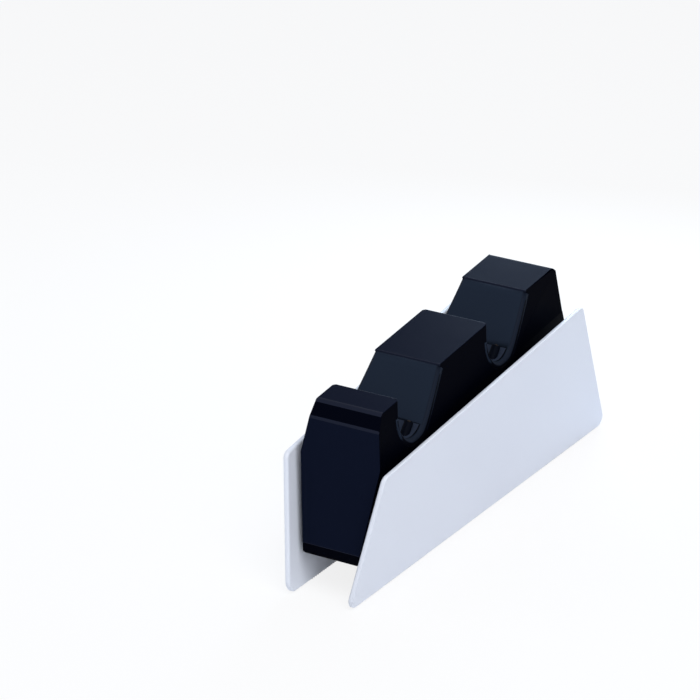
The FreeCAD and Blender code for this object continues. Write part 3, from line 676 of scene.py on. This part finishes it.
@dataclass(frozen=True)
class RodPatch:
    """Faces about a slanted rod, above its foot, that take a painted shade.

    Attributes:
        start: One end of the rod's axis.
        end: Its other end.
        reach_mm: How far from the axis the faces lie at most.
        foot: Height above which they lie.
        material_index: Place of the finish among the mesh's materials.
        side_lean: Largest share of its normal that a side face has along the axis.
        tip_lean: Least share that a face of the tip has.
    """

    start: Vector
    end: Vector
    reach_mm: float
    foot: float
    material_index: int
    side_lean: float = 0.25
    tip_lean: float = 0.95

    def holds(self, face: bpy.types.MeshPolygon) -> bool:
        """Tell whether a face lies close to the rod, on its side or its tip.

        Args:
            face: A face of the welded mesh.

        Returns:
            True if it belongs to the rod.
        """
        along = (self.end - self.start).normalized()
        aside = (face.center - self.start).cross(along).length
        lean = abs(face.normal.dot(along))
        near = aside < self.reach_mm * MM and face.center.z > self.foot
        return near and not self.side_lean < lean < self.tip_lean


Patch = Union[LitEdge, FacingPatch, RodPatch]


def mark(shape: bpy.types.Mesh, patches: Iterable[Patch]) -> None:
    """Give the faces that lie on the patches the patches' finishes.

    Args:
        shape: The mesh to mark.
        patches: The patches, of which the last that holds a face counts.
    """
    for patch in patches:
        for face in filter(patch.holds, shape.polygons):
            face.material_index = patch.material_index


def pull_back(piece: bpy.types.Object, node: str, furthest_mm: float = 0.2) -> None:
    """Put each vertex that a rounding threw off the moulding back on its surface.

    Args:
        piece: The piece with its edges rounded.
        node: The CAD node that it stands for.
        furthest_mm: How far a true rounding may lie from the node's surface.
    """
    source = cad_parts[node].data
    faces = [tuple(face.vertices) for face in source.polygons]
    surface = BVHTree.FromPolygons([vertex.co for vertex in source.vertices], faces)
    for vertex in piece.data.vertices:
        nearest, _, _, distance = surface.find_nearest(vertex.co)
        if distance > furthest_mm * MM:
            vertex.co = nearest


def welded_copy(
    node: str, flat_within: float = 0.4, weld_mm: float = 0.002
) -> bpy.types.Object:
    """Copy a CAD node with its triangles welded and its flats made whole.

    Args:
        node: Name of the CAD node.
        flat_within: Faces that turn by less than this angle become one face.
        weld_mm: Vertices that lie nearer than this become one vertex.

    Returns:
        A new object that stands where the node stands.
    """
    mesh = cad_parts[node].data.copy()
    shape = bmesh.new()
    shape.from_mesh(mesh)
    bmesh.ops.remove_doubles(shape, verts=shape.verts, dist=weld_mm * MM)
    limit = math.radians(flat_within)
    bmesh.ops.dissolve_limit(shape, angle_limit=limit, verts=shape.verts, edges=shape.edges)
    for face in shape.faces:
        face.smooth = True
    shape.to_mesh(mesh)
    shape.free()
    mesh.materials.clear()
    copy = bpy.data.objects.new(f"{node}_working", mesh)
    bpy.context.scene.collection.objects.link(copy)
    return copy


class GeometryGraph(NodeGraph):
    """A Geometry Nodes tree with named inputs, which ends in one material."""

    def __init__(self, name: str, inputs: Mapping[str, float | int]) -> None:
        """Make the tree and one input for each named size or count.

        Args:
            name: Name of the tree.
            inputs: The inputs' values, by label.
        """
        tree = bpy.data.node_groups.new(name, "GeometryNodeTree")
        super().__init__(tree)
        self.inputs = dict(inputs)
        tree.interface.new_socket("Geometry", in_out="OUTPUT", socket_type="NodeSocketGeometry")
        for label, number in inputs.items():
            kind = "NodeSocketInt" if isinstance(number, int) else "NodeSocketFloat"
            tree.interface.new_socket(label, in_out="INPUT", socket_type=kind)
        self.given = self.node("NodeGroupInput")

    def size(self, label: str) -> Field:
        """Wrap one of the tree's named inputs."""
        return Field(self, self.given.outputs[label])

    def vector(self, x: Value = 0.0, y: Value = 0.0, z: Value = 0.0) -> bpy.types.NodeSocket:
        """Join three values into a vector."""
        return self.node("ShaderNodeCombineXYZ", None, {"X": x, "Y": y, "Z": z}).outputs[0]

    def moved(self, geometry: bpy.types.NodeSocket, **values: Any) -> bpy.types.NodeSocket:
        """Move, turn or scale geometry."""
        return self.node("GeometryNodeTransform", None, {"Geometry": geometry, **values}).outputs[0]

    def joined(self, *parts: bpy.types.NodeSocket) -> bpy.types.NodeSocket:
        """Join several geometries into one.

        Args:
            parts: Their sockets.

        Returns:
            The socket of the joined geometry.
        """
        node = self.node("GeometryNodeJoinGeometry")
        for part in parts:
            self.tree.links.new(part, node.inputs[0])
        return node.outputs[0]

    def row(
        self,
        instance: bpy.types.NodeSocket,
        count: Value,
        start: bpy.types.NodeSocket,
        step: bpy.types.NodeSocket,
    ) -> bpy.types.NodeSocket:
        """Repeat an instance along a straight row of points.

        Args:
            instance: The geometry to repeat.
            count: How many there are.
            start: Place of the first.
            step: Way from one to the next.

        Returns:
            The socket of the row.
        """
        line = self.node("GeometryNodeMeshLine", {"mode": "OFFSET"}, {
            "Count": count, "Start Location": start, "Offset": step,
        })
        placed = self.node("GeometryNodeInstanceOnPoints", None, {
            "Points": line.outputs[0], "Instance": instance,
        })
        return placed.outputs[0]

    def build(self, geometry: bpy.types.NodeSocket, name: str, finish: Finish) -> bpy.types.Object:
        """Close the tree, run it once and give the result as a plain mesh.

        Args:
            geometry: What the tree has made.
            name: Name of the new object.
            finish: Finish of every face.

        Returns:
            The object, with no modifier left on it.
        """
        real = self.node("GeometryNodeRealizeInstances", None, {"Geometry": geometry})
        dressed = self.node("GeometryNodeSetMaterial", None, {
            "Geometry": real.outputs[0], "Material": material_of(finish),
        })
        self.node("NodeGroupOutput", None, {"Geometry": dressed.outputs[0]})
        working = bpy.data.objects.new(f"{name}_working", bpy.data.meshes.new(f"{name}_working"))
        bpy.context.scene.collection.objects.link(working)
        modifier = working.modifiers.new("tree", "NODES")
        modifier.node_group = self.tree
        for item in self.tree.interface.items_tree:
            if item.in_out == "INPUT":
                modifier[item.identifier] = self.inputs[item.name]
        return plain_mesh(working, name)


@dataclass
class SubAssembly:
    """Pieces that belong together on the bench."""

    label: str

    def place(self, piece: bpy.types.Object, slot: str, *nodes: str) -> None:
        """Let a finished piece ride on the body in place of its nodes, and report it.

        Args:
            piece: The finished mesh object.
            slot: Not used.
            nodes: CAD nodes that it stands for.
        """
        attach(piece, BODY)
        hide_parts(*nodes)
        LOG.info("%s: %s, %d faces", self.label, piece.name, len(piece.data.polygons))

    def rounded(
        self,
        node: str,
        slot: str,
        edges: EdgeRounding,
        *finishes: Finish,
        patches: Sequence[Patch] = (),
    ) -> None:
        """Replace a node by a copy with broken edges and smooth curves.

        Args:
            node: The CAD node.
            slot: Its material slot in the record.
            edges: How its edges are broken.
            finishes: Its finish, then by index the painted light and shade of its lit edges and
                patches.
            patches: Faces that take one of the further finishes.
        """
        working = welded_copy(node)
        for finish in finishes:
            working.data.materials.append(material_of(finish))
        mark(working.data, patches)
        lit = edges.apply(working)
        piece = plain_mesh(working, f"{node}_moulded")
        pull_back(piece, node)
        mark(piece.data, lit)
        self.place(piece, slot, node)

    def dressed(self, node: str, finish: Finish) -> None:
        """Keep a node's own mesh and give it a finish.

        Args:
            node: The CAD node.
            finish: The finish of all its faces.
        """
        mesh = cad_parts[node].data
        mesh.materials.clear()
        mesh.materials.append(material_of(finish))
        LOG.info("%s: %s, dressed", self.label, node)


@dataclass
class SidePlates(SubAssembly):
    """The two leaning plates and the rubber strips that they stand on."""

    label: str = "side plates"
    rib_pitch_mm: float = 1.2
    rib_height_mm: float = 0.25
    rib_sides: int = 16

    def build(self) -> None:
        """Make the plates and the ribbed strips."""
        for hand in ("left", "right"):
            self.rounded(f"{hand}_side_plate", "side_plate", AS_MOULDED, PLATE_WHITE)
            for place in ("front", "rear"):
                self.strip(f"{place}_{hand}_foot_strip")

    def strip(self, node: str) -> None:
        """Make one strip: a bar with cross ribs on its standing side.

        Args:
            node: The CAD node that it stands for.
        """
        low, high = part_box(node)
        size = high - low
        pitch = self.rib_pitch_mm * MM
        graph = GeometryGraph(f"{node}_tree", {
            "Length": size.y,
            "Width": size.x,
            "Height": size.z,
            "Pitch": pitch,
            "Rib height": self.rib_height_mm * MM,
            "Ribs": int(size.y / pitch),
        })
        rib, step = graph.size("Rib height"), graph.size("Pitch")
        bar_height = graph.size("Height") - rib
        bar = graph.node("GeometryNodeMeshCube", None, {
            "Size": graph.vector(graph.size("Width"), graph.size("Length"), bar_height),
        })
        bar_centre = graph.vector(z=rib + bar_height / 2)
        half_round = graph.node("GeometryNodeMeshCylinder", None, {
            "Vertices": self.rib_sides, "Radius": rib, "Depth": graph.size("Width"),
        })
        turned = graph.moved(half_round.outputs[0], Rotation=Vector((0, math.pi / 2, 0)))
        first = graph.vector(y=(step - graph.size("Length")) / 2, z=rib)
        ribs = graph.row(turned, graph.size("Ribs"), first, graph.vector(y=step))
        joined = graph.joined(graph.moved(bar.outputs[0], Translation=bar_centre), ribs)
        centre = Vector(((low.x + high.x) / 2, (low.y + high.y) / 2, low.z))
        piece = graph.build(graph.moved(joined, Translation=centre), f"{node}_ribbed", FOOT_RUBBER)
        self.place(piece, "foot", node)


@dataclass
class Housing(SubAssembly):
    """The black moulding that the plates carry, with its base cover and screws."""

    label: str = "housing"
    shell_edges: EdgeRounding = EdgeRounding(
        0.2, across_mm=0.4, bevel_mm=1.0, crease_mm=0.5,
        glint=Glint.ACROSS, kept_box_mm=INLET_MOUTH_MM,
    )
    # The brow's chamfer faces take the painted dark reflection.
    brow: FacingPatch = FacingPatch((0.0, -1.0, 0.35), (0.1, -0.8, 0.56), DARK_REFLECTION_INDEX)
    cover_edges: EdgeRounding = EdgeRounding(0.12)
    screw_count: int = 3
    head_height_mm: float = 1.4
    head_radius_mm: float = 2.1
    head_sides: int = 48
    shank_radius_mm: float = 1.1
    shank_sides: int = 32
    recess_arm_mm: float = 2.3
    recess_width_mm: float = 0.55
    recess_depth_mm: float = 0.9

    def build(self) -> None:
        """Make the shell, the cover and its screws."""
        # The shell plastic, then its painted highlight for lit edges and its painted dark
        # reflection for the brow.
        finishes = (SHELL_BLACK, SHELL_PAINTED_HIGHLIGHT, SHELL_PAINTED_DARK_REFLECTION)
        self.rounded("main_shell", "housing", self.shell_edges, *finishes, patches=(self.brow,))
        # The cover's near-black tone is painted shade.
        self.rounded("base_cover", "cover", self.cover_edges, COVER_PAINTED_SHADE)
        self.screws()

    def screws(self) -> None:
        """Make the row of cross-recessed screws, their heads down."""
        low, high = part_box("cover_screws")
        radius = self.head_radius_mm * MM
        graph = GeometryGraph("cover_screws_tree", {
            "Count": self.screw_count,
            "Pitch": (high.y - low.y - 2 * radius) / (self.screw_count - 1),
            "Head radius": radius,
            "Head height": self.head_height_mm * MM,
            "Shank radius": self.shank_radius_mm * MM,
            "Shank length": high.z - low.z - self.head_height_mm * MM,
            "Recess arm": self.recess_arm_mm * MM,
            "Recess width": self.recess_width_mm * MM,
            "Recess depth": self.recess_depth_mm * MM,
        })
        head_height = graph.size("Head height")
        head = graph.node("GeometryNodeMeshCylinder", None, {
            "Vertices": self.head_sides, "Radius": graph.size("Head radius"), "Depth": head_height,
        })
        recessed = graph.node("GeometryNodeMeshBoolean", {"operation": "DIFFERENCE"}, {
            "Mesh 1": head.outputs[0],
        })
        arm, width = graph.size("Recess arm"), graph.size("Recess width")
        for x, y in ((arm, width), (width, arm)):
            bar = graph.node("GeometryNodeMeshCube", None, {
                "Size": graph.vector(x, y, graph.size("Recess depth") * 2),
            })
            lowered = graph.moved(bar.outputs[0], Translation=graph.vector(z=head_height / -2))
            graph.tree.links.new(lowered, recessed.inputs["Mesh 2"])
        length = graph.size("Shank length")
        shank = graph.node("GeometryNodeMeshCylinder", None, {
            "Vertices": self.shank_sides, "Radius": graph.size("Shank radius"), "Depth": length,
        })
        screw = graph.joined(
            graph.moved(recessed.outputs[0], Translation=graph.vector(z=head_height / 2)),
            graph.moved(shank.outputs[0], Translation=graph.vector(z=head_height + length / 2)),
        )
        step = graph.vector(y=graph.size("Pitch"))
        row = graph.row(screw, graph.size("Count"), graph.vector(), step)
        start = Vector(((low.x + high.x) / 2, low.y + radius, low.z))
        piece = graph.build(graph.moved(row, Translation=start), "cover_screws_recessed", ZINC)
        self.place(piece, "screw", "cover_screws")


@dataclass
class Bay(SubAssembly):
    """One charging bay: liner, floor insert with its posts, and what it hides."""

    place_name: str = "front"
    # The liner's chamfered rim takes the painted light.
    rim: FacingPatch = FacingPatch((0.35, -1.0, -0.7), (0.9, 1.0, 1.0), PAINTED_LIGHT_INDEX)
    carrier_edges: EdgeRounding = EdgeRounding(0.12)
    post_height_mm: float = 3.4
    post_reach_mm: float = 1.7

    def post(self, carrier: str, contact: str) -> RodPatch:
        """Find the post of the floor insert that holds one contact.

        Args:
            carrier: CAD node of the floor insert.
            contact: CAD node of the contact.

        Returns:
            The patch of the post's faces, which take painted shade.
        """
        low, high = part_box(contact)
        middle = (low.x + high.x) / 2
        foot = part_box(carrier)[1].z - self.post_height_mm * MM
        start, end = Vector((middle, low.y, low.z)), Vector((middle, high.y, high.z))
        return RodPatch(start, end, self.post_reach_mm, foot, PAINTED_LIGHT_INDEX)

    def build(self) -> None:
        """Make the bay's visible mouldings and dress what they hide."""
        name = self.place_name
        liner_finishes = (CRADLE_BLACK, CRADLE_RIM_PAINTED_LIGHT)
        self.rounded(f"{name}_cradle", "cradle", AS_MOULDED, *liner_finishes, patches=(self.rim,))
        carrier = f"{name}_terminal_carrier"
        contacts = [f"{name}_{hand}_contact" for hand in ("left", "right")]
        posts = [self.post(carrier, contact) for contact in contacts]
        # The posts take the painted shade.
        carrier_finishes = (CARRIER_BLACK, POST_PAINTED_SHADE)
        self.rounded(carrier, "carrier", self.carrier_edges, *carrier_finishes, patches=posts)
        for contact in contacts:
            # The contacts take the gold darkened with painted shade.
            self.rounded(contact, "contact", AS_MOULDED, GOLD_PAINTED_SHADE)
        self.dressed(f"{name}_terminal_board", BOARD)
        self.dressed(f"{name}_terminal_screw", ZINC)
        self.dressed(f"{name}_lead", LEAD_JACKET)
        self.dressed(f"{name}_ballast", STEEL)


@dataclass
class PowerFeed(SubAssembly):
    """The inlet in the tail and the board that it feeds."""

    label: str = "power feed"
    inlet_edges: EdgeRounding = EdgeRounding(0.2)

    def build(self) -> None:
        """Make the inlet and its pin, and dress the board."""
        self.rounded("power_inlet", "inlet", self.inlet_edges, INLET_BLACK)
        self.rounded("inlet_pin", "contact", AS_MOULDED, ZINC)
        self.dressed("control_board", BOARD)


@dataclass
class PhotoCamera:
    """Camera that stands where the photograph was taken from.

    The angles, distance and focal length were fitted to the dock's corners; the
    target point shows at the target pixel of the 700 by 700 frame.
    """

    azimuth: float = 31.155
    elevation: float = 23.049
    distance: float = 1.31335
    focal_px: float = 4000.0
    frame_px: float = 700.0
    target: Vector = field(default_factory=lambda: Vector((0.0, 0.000816, 0.035)))
    target_px: tuple[float, float] = (453.33, 408.45)
    sensor_mm: float = 36.0

    def build(self) -> None:
        """Make the camera and look through it."""
        azimuth, elevation = math.radians(self.azimuth), math.radians(self.elevation)
        back = Vector((
            math.sin(azimuth) * math.cos(elevation),
            -math.cos(azimuth) * math.cos(elevation),
            math.sin(elevation),
        ))
        right = Vector((math.cos(azimuth), math.sin(azimuth), 0.0))
        up = back.cross(right)
        middle = self.frame_px / 2
        across = (self.target_px[0] - middle) / self.focal_px
        above = (middle - self.target_px[1]) / self.focal_px
        ray = (right * across + up * above - back).normalized()
        data = bpy.data.cameras.new("photo_camera")
        data.sensor_width = self.sensor_mm
        data.lens = self.focal_px / self.frame_px * self.sensor_mm
        camera = bpy.data.objects.new("photo_camera", data)
        bpy.context.scene.collection.objects.link(camera)
        turn = Matrix((right, up, back)).transposed().to_4x4()
        camera.matrix_world = Matrix.Translation(self.target - ray * self.distance) @ turn
        bpy.context.scene.camera = camera


@dataclass(frozen=True)
class Softbox:
    """A square area lamp that looks at the dock."""

    name: str
    position: tuple[float, float, float]
    size: float
    watts: float
    colour: Rgb = (255, 255, 255)

    def build(self, target: Vector) -> None:
        """Make the lamp and aim it.

        Args:
            target: The point that it looks at.
        """
        lamp = bpy.data.lights.new(self.name, "AREA")
        lamp.shape = "SQUARE"
        lamp.size = self.size
        lamp.energy = self.watts
        lamp.color = linear(self.colour)[:3]
        holder = bpy.data.objects.new(self.name, lamp)
        holder.visible_camera = False
        bpy.context.scene.collection.objects.link(holder)
        place = Vector(self.position)
        aim = (target - place).to_track_quat("-Z", "Y").to_matrix().to_4x4()
        holder.matrix_world = Matrix.Translation(place) @ aim


@dataclass
class Studio:
    """Pale floor, white background and soft lamps."""

    floor_size: float = 6.0
    floor_colour: Rgb = (236, 238, 242)
    shadow_share: float = 0.16
    ambient: float = 0.46
    ambient_colour: Rgb = (232, 237, 247)
    lamp_target: tuple[float, float, float] = (0.0, 0.0, 0.035)
    lamps: Sequence[Softbox] = (
        Softbox("top_softbox", (0.45, -0.35, 1.1), 0.9, 9.0),
        Softbox("key_softbox", (1.0, -0.9, 0.45), 0.8, 4.2),
        Softbox("fill_softbox", (-1.1, -0.7, 0.5), 0.9, 3.5),
        Softbox("sheen_softbox", (-0.072, 0.215, 0.155), 0.12, 0.42, (205, 230, 255)),
    )

    def build(self) -> None:
        """Set up the floor, the world and the lamps."""
        self.floor()
        self.world()
        for lamp in self.lamps:
            lamp.build(Vector(self.lamp_target))
        bpy.context.scene.view_settings.view_transform = "Standard"

    def floor(self) -> None:
        """Make a level floor that shows white and keeps a soft shadow."""
        half = self.floor_size / 2
        corners = [(-half, -half, 0.0), (half, -half, 0.0), (half, half, 0.0), (-half, half, 0.0)]
        mesh = bpy.data.meshes.new("floor")
        mesh.from_pydata(corners, [], [(0, 1, 2, 3)])
        mesh.materials.append(self.floor_material())
        floor = bpy.data.objects.new("floor", mesh)
        bpy.context.scene.collection.objects.link(floor)

    def floor_material(self) -> bpy.types.Material:
        """Mix white light for what the camera sees with a pale grey that takes shadows.

        Returns:
            The floor's material.
        """
        graph = SurfaceGraph("pale_floor")
        grey = graph.node("ShaderNodeBsdfDiffuse", None, {"Color": linear(self.floor_colour)})
        white = graph.node("ShaderNodeEmission", None, {"Color": WHITE, "Strength": 1.0})
        blend = graph.node("ShaderNodeMixShader", None, {
            0: graph.seen_directly() * (1.0 - self.shadow_share),
            1: grey.outputs[0],
            2: white.outputs[0],
        })
        graph.node("ShaderNodeOutputMaterial", None, {"Surface": blend.outputs[0]})
        return graph.material

    def world(self) -> None:
        """Make a white background, and a cooler soft light for all other rays."""
        world = bpy.data.worlds.new("studio")
        world.use_nodes = True
        graph = NodeGraph(world.node_tree)
        soft = graph.node("ShaderNodeBackground", None, {
            "Color": linear(self.ambient_colour), "Strength": self.ambient,
        })
        white = graph.node("ShaderNodeBackground", None, {"Color": WHITE, "Strength": 1.0})
        blend = graph.node("ShaderNodeMixShader", None, {
            0: graph.seen_directly(), 1: soft.outputs[0], 2: white.outputs[0],
        })
        graph.node("ShaderNodeOutputWorld", None, {"Surface": blend.outputs[0]})
        bpy.context.scene.world = world


def assemblies() -> list[SubAssembly]:
    """Give the dock's sub-assemblies in the order in which they are built."""
    bays = [Bay(label=f"{name} bay", place_name=name) for name in ("front", "rear")]
    return [Housing(), SidePlates(), *bays, PowerFeed()]


def main() -> None:
    """Build the dock's looks, the studio and the camera."""
    logging.basicConfig(level=logging.INFO, format="%(message)s")
    for assembly in assemblies():
        assembly.build()
    Studio().build()
    PhotoCamera().build()


if __name__ == "__main__":
    main()
